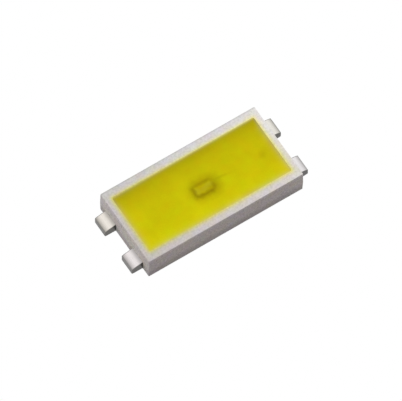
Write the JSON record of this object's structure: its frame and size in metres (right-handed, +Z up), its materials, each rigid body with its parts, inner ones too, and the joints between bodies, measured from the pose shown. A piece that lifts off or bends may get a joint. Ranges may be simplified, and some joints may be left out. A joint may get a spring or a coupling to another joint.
{
  "type": "smd led",
  "caption": "Flat rectangular surface-mount light-emitting diode: white moulded housing with a yellow phosphor window and solder tabs at both ends.",
  "frame": {"origin": "middle of the soldering plane, under the centre of the package", "axes": "+X along the package from the cathode end to the anode end, +Z up out of the light-emitting window"},
  "size_m": [0.007, 0.003, 0.001],
  "materials": {
    "white_plastic": "white heat-resistant moulded plastic, satin",
    "phosphor_resin": "silicone resin filled with yellow phosphor, smooth",
    "silver_plating": "satin silver plating on copper",
    "chip": "sapphire die with an epitaxial mesa",
    "silicon": "sawn silicon die",
    "gold": "gold",
    "adhesive": "cured die attach silicone"
  },
  "bodies": {
    "root": {"housing": "white_plastic", "encapsulant": "phosphor_resin", "cathode_lead_frame": "silver_plating", "anode_lead_frame": "silver_plating", "led_chip": "chip", "n_contact": "gold", "p_contact": "gold", "die_attach": "adhesive", "cathode_bond_wire": "gold", "anode_bond_wire": "gold", "protection_diode": "silicon", "diode_attach": "adhesive", "diode_bond_wire": "gold"}
  },
  "joints": []
}
